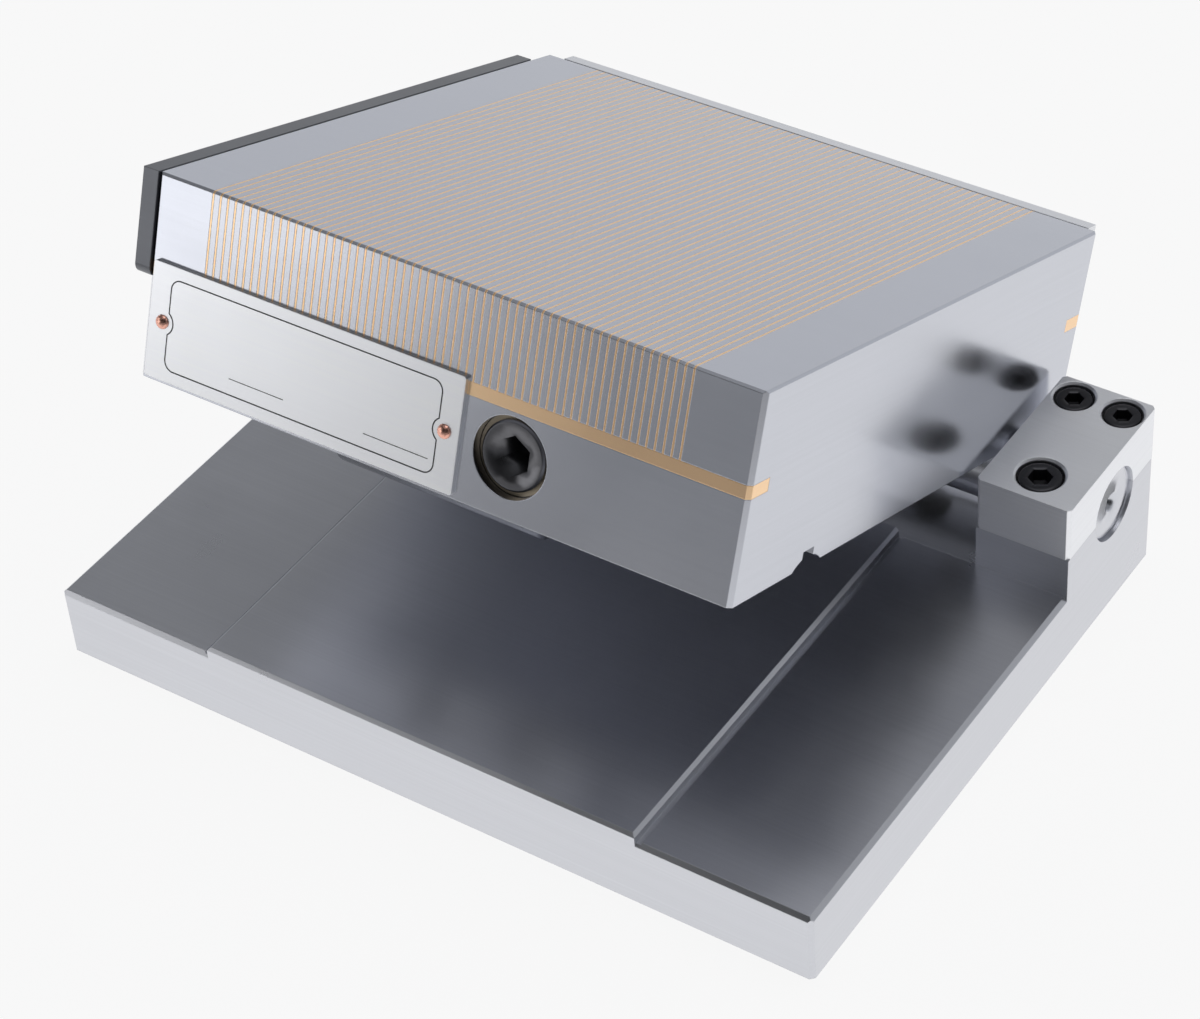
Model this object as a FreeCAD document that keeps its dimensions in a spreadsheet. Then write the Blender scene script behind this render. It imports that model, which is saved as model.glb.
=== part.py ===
import FreeCAD, Part
import math
import os
import re
import Sketcher

# Sine plate with a fine pole permanent magnetic chuck.
#
# Row frame: origin at the centre of the base's underside, +X along the hinge roll, +Y from the
# front edge towards the hinge, +Z up. The chuck is built in the chuck frame: origin on the hinge
# axis, +Y towards the rear face, +Z square to the working face, turned about the hinge axis.

DIMENSIONS = (
    # Base plate, with the lower halves of the two hinge blocks in one piece
    ("base_depth", 152.0),
    ("base_chamfer", 1.0),
    ("gauge_pad_width", 114.0),
    ("gauge_pad_step", 2.2),
    ("gauge_pad_chamfer", 0.8),
    ("root_groove_width", 1.2),
    ("root_groove_depth", 0.4),
    ("swing_recess_depth", 3.6),
    # Hinge blocks and their caps
    ("block_width", 23.2),
    ("block_gap", 1.8),
    ("block_depth", 41.2),
    ("cap_height", 14.4),
    ("cap_chamfer", 0.8),
    ("hinge_height", 29.6),
    ("hinge_from_rear", 19.2),
    ("bore_clearance", 0.05),
    # Screws of the caps: one clamp screw in front, two fixing screws behind
    ("clamp_from_front", 8.0),
    ("fixing_from_rear", 5.6),
    ("fixing_spacing", 12.2),
    ("clamp_radius", 3.0),
    ("clamp_head_radius", 5.0),
    ("clamp_head_height", 6.0),
    ("clamp_hex", 5.0),
    ("clamp_depth", 12.0),
    ("fixing_radius", 2.5),
    ("fixing_head_radius", 4.25),
    ("fixing_head_height", 5.0),
    ("fixing_hex", 4.0),
    ("fixing_depth", 11.0),
    ("counterbore_gap", 0.5),
    ("head_sink", 0.6),
    ("mouth_chamfer", 0.5),
    ("thread_gap", 0.05),
    ("screw_hole_gap", 0.3),
    ("tap_runout", 2.0),
    ("tip_gap", 1.0),
    ("overrun", 1.0),
    ("hex_depth_share", 0.5),
    # Rolls
    ("roll_radius", 9.0),
    ("roll_chamfer", 0.5),
    ("roll_end_recess", 1.0),
    ("centre_hole_radius", 2.6),
    ("centre_pilot_radius", 1.2),
    ("sine_distance", 100.0),
    ("sine_roll_length", 52.0),
    ("sine_roll_offset", -11.5),
    ("roll_drop", 6.8),
    ("seat_gap", 0.04),
    ("seat_slot_width", 4.5),
    ("seat_slot_depth", 3.7),
    ("roll_screw_inset", 13.0),
    ("roll_head_sink", 1.6),
    ("hinge_roll_screw_spacing", 110.0),
    # Chuck housing
    ("tilt", 21.0),
    ("chuck_width", 150.0),
    ("chuck_height", 46.4),
    ("front_overhang", 30.6),
    ("rear_overhang", 19.4),
    ("chuck_chamfer", 1.0),
    ("working_edge_chamfer", 0.5),
    ("end_wall", 10.0),
    ("cheek_wall", 17.0),
    ("cover_ledge", 9.0),
    ("cover_thickness", 9.0),
    ("cover_gap", 0.05),
    ("cover_screw_radius", 2.0),
    ("cover_screw_head_radius", 4.0),
    ("cover_screw_depth", 9.0),
    ("cover_screw_past_roll", 6.6),
    ("cover_screw_before_hinge", 10.6),
    ("cover_screw_hex", 2.5),
    # Pole plate: steel laminations between brass spacers, on two brass bars
    ("pole_count", 60.0),
    ("pole_thickness", 1.48),
    ("spacer_thickness", 0.5),
    ("pole_height", 19.9),
    ("pole_offset", -0.8),
    ("bar_height", 3.0),
    ("bar_depth", 7.4),
    # Magnet pack on its sliding carriage
    ("magnet_count", 10.0),
    ("magnet_thickness", 5.0),
    ("pack_margin", 7.95),
    ("magnet_air_gap", 0.3),
    ("carriage_floor", 3.0),
    ("carriage_front_block", 14.0),
    ("carriage_rear_block", 5.0),
    ("carriage_end_gap", 1.0),
    ("carriage_top_gap", 1.0),
    ("slide_gap", 0.05),
    ("strip_thickness", 1.0),
    ("strip_width", 8.0),
    ("strip_inset", 24.0),
    # Eccentric cam shaft that shifts the carriage by twice its throw
    ("cam_past_nameplate", 12.1),
    ("cam_height", 13.5),
    ("cam_hole_radius", 9.0),
    ("cam_head_radius", 7.7),
    ("cam_head_recess", 1.0),
    ("cam_head_length", 2.0),
    ("cam_journal_radius", 6.5),
    ("cam_throw", 2.5),
    ("cam_pin_radius", 3.0),
    ("cam_pin_length", 10.0),
    ("cam_pin_slack", 0.65),
    ("key_hex", 8.0),
    ("key_depth", 8.5),
    ("stop_screw_radius", 2.0),
    ("stop_tip_radius", 1.4),
    ("stop_screw_from_front", 6.5),
    ("stop_groove_depth", 1.0),
    ("stop_groove_gap", 0.15),
    ("stop_screw_hex", 2.0),
    # Workpiece stops on the left and rear faces
    ("stop_thickness", 4.0),
    ("stop_height", 24.2),
    ("stop_gap", 0.1),
    ("stop_corner_radius", 2.5),
    ("side_stop_short", 8.0),
    ("rear_stop_short", 6.8),
    ("rear_stop_offset", 1.0),
    ("stop_travel", 6.0),
    ("stop_screw_from_top", 11.0),
    ("side_stop_slot_inset", 30.0),
    ("rear_stop_slot_inset", 6.1),
    ("slot_screw_radius", 2.0),
    ("slot_screw_head_radius", 3.5),
    ("slot_screw_head_height", 4.0),
    ("slot_screw_hex", 3.0),
    ("slot_screw_depth", 9.0),
    # Nameplate
    ("nameplate_inset", 1.8),
    ("nameplate_length", 81.2),
    ("nameplate_bottom", 1.0),
    ("nameplate_height", 26.4),
    ("nameplate_thickness", 1.0),
    ("nameplate_corner", 0.4),
    ("rivet_inset", 3.6),
    ("rivet_radius", 1.0),
    ("rivet_head_radius", 1.7),
    ("rivet_head_height", 1.1),
    ("rivet_depth", 4.0),
)

# Places that several pieces share, worked out from the sizes above
PLACES = {
    "gauge_pad_top": "(hinge_height - roll_radius)",
    "ledge_top": "(hinge_height - roll_radius - gauge_pad_step)",
    "base_rear": "(base_depth / 2)",
    "block_inner": "(base_width / 2 - block_width)",
    "block_middle": "(base_width / 2 - block_width / 2)",
    "block_front": "(base_depth / 2 - block_depth)",
    "hinge_y": "(base_depth / 2 - hinge_from_rear)",
    "clamp_y": "(base_depth / 2 - block_depth + clamp_from_front)",
    "fixing_y": "(base_depth / 2 - fixing_from_rear)",
    "bore_radius": "(roll_radius + bore_clearance)",
    "seat_radius": "(roll_radius + seat_gap)",
    "chuck_side": "(chuck_width / 2)",
    "chuck_front": "(-front_reach)",
    "chuck_rear": "(chuck_depth - front_reach)",
    "chuck_bottom": "(roll_drop)",
    "chuck_top": "(roll_drop + chuck_height)",
    "cover_top": "(roll_drop + cover_thickness)",
    "cover_side": "(chuck_width / 2 - cheek_wall + cover_ledge)",
    "cavity_side": "(chuck_width / 2 - cheek_wall)",
    "cavity_front": "(end_wall - front_reach)",
    "cavity_rear": "(chuck_depth - front_reach - end_wall)",
    "pole_bottom": "(roll_drop + chuck_height - pole_height)",
    "bar_bottom": "(roll_drop + chuck_height - pole_height - bar_height)",
    "pole_pitch": "(pole_thickness + spacer_thickness)",
    "field_left": "(pole_offset - field_width / 2)",
    "field_width": "(pole_count * (pole_thickness + spacer_thickness) + spacer_thickness)",
    "cam_z": "(roll_drop + cam_height)",
    "cam_pin_x": "(cam_offset - cam_throw)",
    "magnet_pitch": "(magnet_thickness + flux_bar_thickness)",
    "flux_bar_thickness": "((pack_width - magnet_count * magnet_thickness) / (magnet_count - 1))",
    "pack_width": "(2 * carriage_half - 2 * pack_margin)",
    "carriage_half": "(chuck_width / 2 - cheek_wall - cam_throw - carriage_end_gap / 2)",
    "carriage_front": "(end_wall - front_reach + carriage_end_gap)",
    "carriage_rear": "(chuck_depth - front_reach - end_wall - carriage_end_gap)",
    "strip_top": "(roll_drop + cover_thickness + strip_thickness)",
    "carriage_bottom": "(roll_drop + cover_thickness + strip_thickness + slide_gap)",
    "magnet_bottom": "(roll_drop + cover_thickness + strip_thickness + slide_gap + carriage_floor)",
    "magnet_top": "(roll_drop + chuck_height - pole_height - magnet_air_gap)",
    "stop_bottom": "(roll_drop + chuck_height - stop_height)",
    "stop_screw_z": "(roll_drop + chuck_height - stop_screw_from_top)",
    "nameplate_middle": "(roll_drop + nameplate_bottom + nameplate_height / 2)",
    "rivet_left": "(rivet_inset - nameplate_left)",
    "rivet_spacing": "(nameplate_length - 2 * rivet_inset)",
    "cover_screw_front": "(-sine_distance - cover_screw_past_roll)",
    "cover_screw_spacing": "(sine_distance + cover_screw_past_roll - cover_screw_before_hinge)",
    "rear_stop_slot_spacing": "(rear_stop_length - 2 * rear_stop_slot_inset)",
    "rear_stop_length": "(chuck_width - rear_stop_short)",
    "side_stop_length": "(chuck_depth - side_stop_short)",
    "cam_offset": "(nameplate_length - nameplate_left + cam_past_nameplate)",
    "nameplate_left": "(chuck_width / 2 - nameplate_inset)",
    "base_width": "(chuck_width + 2 * block_gap + 2 * block_width)",
    "chuck_depth": "(front_overhang + sine_distance + rear_overhang)",
    "front_reach": "(front_overhang + sine_distance)",
}

SHEET = "dims"
ALIASES = {name for name, size in DIMENSIONS}


def bound(expression):
    """Expression with shared places written out and every alias read from the sheet."""
    text = str(expression)
    for name, place in PLACES.items():
        text = re.sub(rf"\b{name}\b", place, text)
    return re.sub(r"\b[a-z][a-z0-9_]*\b", lambda m: f"{SHEET}.{m[0]}" if m[0] in ALIASES else m[0], text)


doc = FreeCAD.newDocument("sine_chuck")
sheet = doc.addObject("Spreadsheet::Sheet", SHEET)
for row, (name, size) in enumerate(DIMENSIONS, start=1):
    sheet.set(f"A{row}", name)
    sheet.set(f"B{row}", str(size))
    sheet.setAlias(f"B{row}", name)
doc.recompute()

sub_parts = []


def number(expression):
    """Value of an expression with the sheet's present sizes."""
    return float(sheet.evalExpression(bound(expression)))


def new_part(label, on_chuck=False):
    """Empty body for one named piece, in the row frame or in the tilted chuck frame."""
    body = doc.addObject("PartDesign::Body", label)
    body.Label = label
    if on_chuck:
        turn = FreeCAD.Rotation(FreeCAD.Vector(-1, 0, 0), number("tilt"))
        body.Placement = FreeCAD.Placement(FreeCAD.Vector(0, number("hinge_y"), number("hinge_height")), turn)
        body.setExpression("Placement.Base.y", bound("hinge_y"))
        body.setExpression("Placement.Base.z", bound("hinge_height"))
        body.setExpression("Placement.Rotation.Angle", bound("tilt * 1 deg"))
    sub_parts.append(body)
    return body


def origin_item(body, role):
    """Origin plane or axis of a body, found by its role."""
    return next(item for item in body.Origin.OriginFeatures if item.Role == role)


def new_sketch(body, plane, right=0, up=0, out=0):
    """Sketch on an origin plane, its origin moved right and up in the plane and out along its normal."""
    sketch = body.newObject("Sketcher::SketchObject", f"{body.Label}_sketch")
    sketch.AttachmentSupport = [(origin_item(body, f"{plane}_Plane"), "")]
    sketch.MapMode = "FlatFace"
    for axis, offset in zip("xyz", (right, up, out)):
        sketch.setExpression(f"AttachmentOffset.Base.{axis}", bound(offset))
    return sketch


def locate(sketch, geometry, point, x, y):
    """Ties one sketch point to the sketch's origin by two expressions."""
    for kind, expression in (("DistanceX", x), ("DistanceY", y)):
        index = sketch.addConstraint(Sketcher.Constraint(kind, -1, 1, geometry, point, number(expression)))
        sketch.setExpression(f"Constraints[{index}]", bound(expression))


def polygon(sketch, points):
    """Closed outline through points given as pairs of expressions."""
    corners = [FreeCAD.Vector(number(x), number(y), 0) for x, y in points]
    first = sketch.GeometryCount
    count = len(points)
    for index in range(count):
        sketch.addGeometry(Part.LineSegment(corners[index], corners[(index + 1) % count]))
    for index in range(count):
        after = first + (index + 1) % count
        sketch.addConstraint(Sketcher.Constraint("Coincident", first + index, 2, after, 1))
    for index, (x, y) in enumerate(points):
        locate(sketch, first + index, 1, x, y)


def rectangle(sketch, left, right, low, high):
    """Closed rectangle between four expressions."""
    polygon(sketch, [(left, low), (right, low), (right, high), (left, high)])


def circle(sketch, x, y, radius):
    """Circle with its centre and radius tied to expressions."""
    middle = FreeCAD.Vector(number(x), number(y), 0)
    index = sketch.addGeometry(Part.Circle(middle, FreeCAD.Vector(0, 0, 1), number(radius)))
    locate(sketch, index, 3, x, y)
    size = sketch.addConstraint(Sketcher.Constraint("Radius", index, number(radius)))
    sketch.setExpression(f"Constraints[{size}]", bound(radius))


def hexagon(sketch, across_flats, upright=False, at=("0", "0")):
    """Regular hexagon round a point of the sketch, its corners on the level or the upright axis."""
    radius = f"(({across_flats}) / sqrt(3))"
    rise = f"(({across_flats}) / 2)"
    corners = [(radius, 0), (f"{radius} / 2", rise), (f"-{radius} / 2", rise),
               (f"-{radius}", 0), (f"-{radius} / 2", f"-{rise}"), (f"{radius} / 2", f"-{rise}")]
    if upright:
        corners = [(y, x) for x, y in corners]
    polygon(sketch, [(f"{at[0]} + {x}", f"{at[1]} + {y}") for x, y in corners])


def pad(body, sketch, length, backwards=False, both_ways=False):
    """Extrusion along the sketch's normal, against it, or half each way."""
    feature = body.newObject("PartDesign::Pad", f"{body.Label}_pad")
    feature.Profile = sketch
    feature.Reversed = backwards
    feature.Midplane = both_ways
    feature.setExpression("Length", bound(length))
    body.Tip = feature
    return feature


def cut(body, sketch, depth, along_normal=False, both_ways=False):
    """Pocket against the sketch's normal, along it, or half each way; it must take material away."""
    doc.recompute()
    volume_before = body.Shape.Volume
    feature = body.newObject("PartDesign::Pocket", f"{body.Label}_pocket")
    feature.Profile = sketch
    feature.Reversed = along_normal
    feature.Midplane = both_ways
    feature.setExpression("Length", bound(depth))
    body.Tip = feature
    doc.recompute()
    if feature.Shape.isNull() or body.Shape.Volume >= volume_before:
        raise RuntimeError(f"{body.Label}: a pocket takes nothing away")
    return feature


def turned(body, sketch, axis, angle=360, kind="Revolution", start_against=False):
    """Revolution, or Groove, of a sketch about one of its own axes."""
    feature = body.newObject(f"PartDesign::{kind}", f"{body.Label}_{kind.lower()}")
    feature.Profile = sketch
    feature.ReferenceAxis = (sketch, [axis])
    feature.Reversed = start_against
    feature.setExpression("Angle", bound(angle))
    body.Tip = feature
    return feature


def row_pattern(body, axis, count, spacing, originals):
    """Copies of features in a row along an origin axis."""
    pattern = body.newObject("PartDesign::LinearPattern", f"{body.Label}_row")
    pattern.Originals = originals
    pattern.Direction = (origin_item(body, f"{axis}_Axis"), [""])
    pattern.Mode = "Spacing"
    pattern.setExpression("Offset", bound(spacing))
    pattern.setExpression("Occurrences", bound(count))
    body.Tip = pattern
    return pattern


def mirror_pattern(body, plane, originals):
    """Copies of features on the other side of an origin plane."""
    pattern = body.newObject("PartDesign::Mirrored", f"{body.Label}_mirror")
    pattern.Originals = originals
    pattern.MirrorPlane = (origin_item(body, f"{plane}_Plane"), [""])
    body.Tip = pattern
    return pattern


def row_and_mirror(body, axis, count, spacing, plane, originals):
    """Copies of features in a row, and all of them again across an origin plane."""
    pattern = body.newObject("PartDesign::MultiTransform", f"{body.Label}_copies")
    pattern.Originals = originals
    row = body.newObject("PartDesign::LinearPattern", f"{body.Label}_row")
    row.Direction = (origin_item(body, f"{axis}_Axis"), [""])
    row.Mode = "Spacing"
    row.setExpression("Offset", bound(spacing))
    row.setExpression("Occurrences", bound(count))
    mirror = body.newObject("PartDesign::Mirrored", f"{body.Label}_mirror")
    mirror.MirrorPlane = (origin_item(body, f"{plane}_Plane"), [""])
    pattern.Transformations = [row, mirror]
    body.Tip = pattern
    return pattern


def bevel(body, size, wanted, rounded=False):
    """Chamfer, or fillet, on the straight edges that the test picks by their first and last points."""
    doc.recompute()
    base = body.Tip
    names = []
    for index, edge in enumerate(base.Shape.Edges, start=1):
        if isinstance(edge.Curve, Part.Line) and wanted(edge.Vertexes[0].Point, edge.Vertexes[-1].Point):
            names.append(f"Edge{index}")
    if not names:
        raise RuntimeError(f"{body.Label}: no edge to bevel")
    kind, length = ("Fillet", "Radius") if rounded else ("Chamfer", "Size")
    feature = body.newObject(f"PartDesign::{kind}", f"{body.Label}_{kind.lower()}")
    feature.Base = (base, names)
    feature.setExpression(length, bound(size))
    body.Tip = feature
    return feature


def near(value, expression):
    """Whether a coordinate lies at a place given as an expression."""
    return abs(value - number(expression)) < 1e-4


# Socket head cap screw. The profile lies in the named plane: "V" turns it about the plane's upright
# axis, "H" about its level one. side is +1 where the head stands towards that axis's positive end.
AXIS_PLANE = {("XZ", "V"): ("XY", 1), ("XZ", "H"): ("YZ", 1), ("YZ", "H"): ("XZ", -1)}


def socket_screw(body, plane, turn_axis, at, side, radius, length, head_radius, head_height, hex_size):
    """One screw whose head seats at the point at = (x, y, z); returns its features for a pattern."""
    profile = [(f"-({length})", 0), (f"-({length})", radius), (0, radius), (0, head_radius),
               (head_height, head_radius), (head_height, 0)]
    signed = [(f"{side} * ({along})", across) for along, across in profile]
    x, y, z = at
    right, up, out = {"XZ": (x, z, f"-({y})"), "YZ": (y, z, x)}[plane]
    outline = new_sketch(body, plane, right, up, out)
    polygon(outline, [(across, along) for along, across in signed] if turn_axis == "V" else signed)
    solid = turned(body, outline, f"{turn_axis}_Axis")
    end_plane, normal = AXIS_PLANE[plane, turn_axis]
    top = f"{side} * ({head_height})"
    places = {"XY": (x, y, f"{z} + {top}"), "YZ": (y, z, f"{x} + {top}"), "XZ": (x, z, f"-({y} + {top})")}
    socket = new_sketch(body, end_plane, *places[end_plane])
    hexagon(socket, hex_size)
    hollow = cut(body, socket, f"{head_height} * hex_depth_share", along_normal=side * normal < 0)
    return [solid, hollow]


def roll_seat(body, y, half_length):
    """Round seat and relief slot for a roll, cut along X through the underside of a chuck piece."""
    seat = new_sketch(body, "YZ")
    circle(seat, y, 0, "seat_radius")
    cut(body, seat, f"2 * ({half_length})", both_ways=True)
    slot = new_sketch(body, "YZ")
    rectangle(slot, f"{y} - seat_slot_width / 2", f"{y} + seat_slot_width / 2",
              "chuck_bottom - roll_chamfer", "chuck_bottom + seat_slot_depth")
    cut(body, slot, f"2 * ({half_length})", both_ways=True)


# ---------------------------------------------------------------- base
# Ground plate with a raised gauge pad and the lower halves of the hinge blocks.
base = new_part("base")
outline = new_sketch(base, "XY")
rectangle(outline, "-base_width / 2", "base_width / 2", "-base_depth / 2", "base_rear")
pad(base, outline, "ledge_top")
raised = new_sketch(base, "XY", out="ledge_top")
rectangle(raised, "-gauge_pad_width / 2", "gauge_pad_width / 2", "-base_depth / 2", "block_front")
pad(base, raised, "gauge_pad_step")
blocks = new_sketch(base, "XY", out="ledge_top")
rectangle(blocks, "block_inner", "base_width / 2", "block_front", "base_rear")
rectangle(blocks, "-base_width / 2", "-block_inner", "block_front", "base_rear")
pad(base, blocks, "hinge_height - ledge_top")
recess = new_sketch(base, "XY", out="gauge_pad_top")
rectangle(recess, "-block_inner", "block_inner", "block_front", "base_rear + base_chamfer")
cut(base, recess, "swing_recess_depth")
bevel(base, "gauge_pad_chamfer", lambda a, b: near(a.z, "gauge_pad_top") and near(b.z, "gauge_pad_top")
      and not (near(a.y, "block_front") and near(b.y, "block_front")))
bevel(base, "base_chamfer", lambda a, b: near(a.z, "ledge_top") and near(b.z, "ledge_top")
      and ((near(abs(a.x), "base_width / 2") and near(abs(b.x), "base_width / 2"))
           or (near(a.y, "-base_depth / 2") and near(b.y, "-base_depth / 2"))))
bevel(base, "base_chamfer", lambda a, b: near(abs(a.x), "base_width / 2") and near(a.x, b.x)
      and near(a.y, b.y) and min(a.z, b.z) < number("base_chamfer"))
grooves = new_sketch(base, "XY", out="ledge_top")
for side in (-1, 1):
    rectangle(grooves, f"{side} * gauge_pad_width / 2", f"{side} * (gauge_pad_width / 2 + root_groove_width)",
              "-base_depth / 2 - base_chamfer", "block_front")
cut(base, grooves, "root_groove_depth")
bore = new_sketch(base, "YZ")
circle(bore, "hinge_y", "hinge_height", "bore_radius")
cut(base, bore, "base_width", both_ways=True)
clamp_taps = new_sketch(base, "XY", out="hinge_height")
for side in (-1, 1):
    circle(clamp_taps, f"{side} * block_middle", "clamp_y", "clamp_radius + thread_gap")
cut(base, clamp_taps, "clamp_depth + tap_runout")
fixing_taps = new_sketch(base, "XY", out="hinge_height")
for side in (-1, 1):
    for step in (-1, 1):
        circle(fixing_taps, f"{side} * block_middle + {step} * fixing_spacing / 2", "fixing_y",
               "fixing_radius + thread_gap")
cut(base, fixing_taps, "fixing_depth + tap_runout")

# ---------------------------------------------------------------- hinge caps
# Upper halves of the two hinge blocks, bored together with the base and clamped down on the roll.
caps = new_part("hinge_caps")
outline = new_sketch(caps, "XY", out="hinge_height")
for side in (-1, 1):
    rectangle(outline, f"{side} * block_inner", f"{side} * base_width / 2", "block_front", "base_rear")
pad(caps, outline, "cap_height")
bevel(caps, "cap_chamfer", lambda a, b: near(a.x, b.x) and near(a.y, b.y))
bore = new_sketch(caps, "YZ")
circle(bore, "hinge_y", "hinge_height", "bore_radius")
cut(caps, bore, "base_width", both_ways=True)


def cap_hole(x, y, screw, head, head_height):
    """Stepped hole for one cap screw: bevelled mouth, counterbore and clearance hole."""
    profile = new_sketch(caps, "XZ", x, "hinge_height + cap_height", f"-({y})")
    clearance = f"({screw} + screw_hole_gap)"
    bore = f"({head} + counterbore_gap)"
    floor = f"-({head_height} + head_sink)"
    polygon(profile, [(0, 0), (f"{bore} + mouth_chamfer", 0), (bore, "-mouth_chamfer"), (bore, floor),
                      (clearance, floor), (clearance, "-cap_height"), (0, "-cap_height")])
    return turned(caps, profile, "V_Axis", kind="Groove")


holes = [cap_hole("block_middle", "clamp_y", "clamp_radius", "clamp_head_radius", "clamp_head_height")]
for step in (-1, 1):
    holes.append(cap_hole(f"block_middle + {step} * fixing_spacing / 2", "fixing_y", "fixing_radius",
                          "fixing_head_radius", "fixing_head_height"))
doc.recompute()
mirror_pattern(caps, "YZ", holes)

# ---------------------------------------------------------------- cap screws
clamp_screws = new_part("clamp_screws")
seat = "(hinge_height + cap_height - clamp_head_height - head_sink)"
made = socket_screw(clamp_screws, "XZ", "V", ("block_middle", "clamp_y", seat), 1, "clamp_radius",
                    f"{seat} - hinge_height + clamp_depth", "clamp_head_radius", "clamp_head_height", "clamp_hex")
mirror_pattern(clamp_screws, "YZ", made)

fixing_screws = new_part("fixing_screws")
seat = "(hinge_height + cap_height - fixing_head_height - head_sink)"
made = socket_screw(fixing_screws, "XZ", "V", ("block_middle - fixing_spacing / 2", "fixing_y", seat), 1,
                    "fixing_radius", f"{seat} - hinge_height + fixing_depth", "fixing_head_radius",
                    "fixing_head_height", "fixing_hex")
row_and_mirror(fixing_screws, "X", 2, "fixing_spacing", "YZ", made)


# ---------------------------------------------------------------- rolls
# Hardened rolls on the sine distance, each seated in a groove and held by two screws from below.
sine_roll_left = "(sine_roll_offset - sine_roll_length / 2)"
sine_roll_right = "(sine_roll_offset + sine_roll_length / 2)"
hinge_roll_right = "(base_width / 2 - roll_end_recess)"
roll_screws = (
    ("-hinge_roll_screw_spacing / 2", "0"), ("hinge_roll_screw_spacing / 2", "0"),
    (f"{sine_roll_left} + roll_screw_inset", "-sine_distance"),
    (f"{sine_roll_right} - roll_screw_inset", "-sine_distance"),
)
for label, left, right, y in (("hinge_roll", f"-{hinge_roll_right}", hinge_roll_right, "0"),
                              ("sine_roll", sine_roll_left, sine_roll_right, "-sine_distance")):
    roll = new_part(label, on_chuck=True)
    profile = new_sketch(roll, "XZ", out=f"-({y})")
    left_end, right_end = [(left, "roll_radius")], [(right, "roll_radius")]
    left_centre, right_centre = [(left, 0)], [(right, 0)]
    if label == "hinge_roll":
        pilot = "((centre_hole_radius - centre_pilot_radius) * sqrt(3))"
        left_centre = [(f"{left} + {pilot}", 0), (f"{left} + {pilot}", "centre_pilot_radius"),
                       (left, "centre_hole_radius")]
        right_centre = [(right, "centre_hole_radius"), (f"{right} - {pilot}", "centre_pilot_radius"),
                        (f"{right} - {pilot}", 0)]
        left_end = [(left, "roll_radius - roll_chamfer"), (f"{left} + roll_chamfer", "roll_radius")]
        right_end = [(f"{right} - roll_chamfer", "roll_radius"), (right, "roll_radius - roll_chamfer")]
    polygon(profile, left_centre + left_end + right_end + right_centre)
    turned(roll, profile, "H_Axis")
    for radius, start, depth, upwards in (
            ("fixing_radius + screw_hole_gap", "roll_radius", "2 * roll_radius", False),
            ("fixing_head_radius + counterbore_gap", "-roll_radius", "fixing_head_height + roll_head_sink", True)):
        holes = new_sketch(roll, "XY", out=start)
        for x, screw_y in roll_screws:
            if screw_y == y:
                circle(holes, x, y, radius)
        cut(roll, holes, depth, along_normal=upwards)

screws = new_part("roll_screws", on_chuck=True)
head_seat = "(fixing_head_height + roll_head_sink - roll_radius)"
tip = "(cover_top - tip_gap)"
profile = [("0", tip), ("fixing_radius", tip), ("fixing_radius", head_seat),
           ("fixing_head_radius", head_seat), ("fixing_head_radius", f"{head_seat} - fixing_head_height"),
           ("0", f"{head_seat} - fixing_head_height")]
for x, y in roll_screws:
    outline = new_sketch(screws, "XZ", x, 0, f"-({y})")
    polygon(outline, profile)
    turned(screws, outline, "V_Axis")
sockets = new_sketch(screws, "XY", out=f"{head_seat} - fixing_head_height")
for x, y in roll_screws:
    hexagon(sockets, "fixing_hex", at=(x, y))
cut(screws, sockets, "fixing_head_height * hex_depth_share", along_normal=True)

# ---------------------------------------------------------------- chuck housing
# Steel block with full height cheeks; the pole plate lies between them and a cover closes it below.
housing = new_part("chuck_housing", on_chuck=True)
side_view = new_sketch(housing, "YZ")
polygon(side_view, [
    ("chuck_front", "chuck_bottom"), ("chuck_rear", "chuck_bottom"),
    ("chuck_rear", "chuck_top - working_edge_chamfer"), ("chuck_rear - working_edge_chamfer", "chuck_top"),
    ("chuck_front + working_edge_chamfer", "chuck_top"), ("chuck_front", "chuck_top - working_edge_chamfer")])
pad(housing, side_view, "chuck_width", both_ways=True)
bevel(housing, "chuck_chamfer", lambda a, b: near(a.x, b.x) and near(a.y, b.y)
      and (near(a.y, "chuck_front") or near(a.y, "chuck_rear")))
bevel(housing, "working_edge_chamfer", lambda a, b: near(abs(a.x), "chuck_side") and near(a.x, b.x)
      and near(a.z, "chuck_top") and near(b.z, "chuck_top"))
field = new_sketch(housing, "XY", out="chuck_top")
rectangle(field, "field_left", "field_left + field_width", "chuck_front - overrun", "chuck_rear + overrun")
cut(housing, field, "pole_height + bar_height")
for low, high in (("chuck_front - overrun", "chuck_front + bar_depth"),
                  ("chuck_rear - bar_depth", "chuck_rear + overrun")):
    notch = new_sketch(housing, "XY", out="pole_bottom")
    rectangle(notch, "-chuck_side - overrun", "chuck_side + overrun", low, high)
    cut(housing, notch, "bar_height")
recess = new_sketch(housing, "XY", out="chuck_bottom")
rectangle(recess, "-cover_side", "cover_side", "cavity_front", "cavity_rear")
cut(housing, recess, "cover_thickness", along_normal=True)
cavity = new_sketch(housing, "XY", out="cover_top")
rectangle(cavity, "-cavity_side", "cavity_side", "cavity_front", "cavity_rear")
cut(housing, cavity, "pole_bottom - cover_top", along_normal=True)
roll_seat(housing, 0, "chuck_side")
roll_seat(housing, "-sine_distance", "chuck_side")
for radius, depth in (("cam_hole_radius", "cam_head_recess + cam_head_length + thread_gap"),
                      ("cam_journal_radius + bore_clearance", "end_wall")):
    cam_hole = new_sketch(housing, "XZ", out="-chuck_front")
    circle(cam_hole, "cam_offset", "cam_z", radius)
    cut(housing, cam_hole, depth)
stop_tap = new_sketch(housing, "XY", out="chuck_bottom")
circle(stop_tap, "cam_offset", "chuck_front + stop_screw_from_front", "stop_screw_radius + thread_gap")
cut(housing, stop_tap, "cam_height - cam_journal_radius", along_normal=True)
cover_taps = new_sketch(housing, "XY", out="cover_top")
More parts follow.
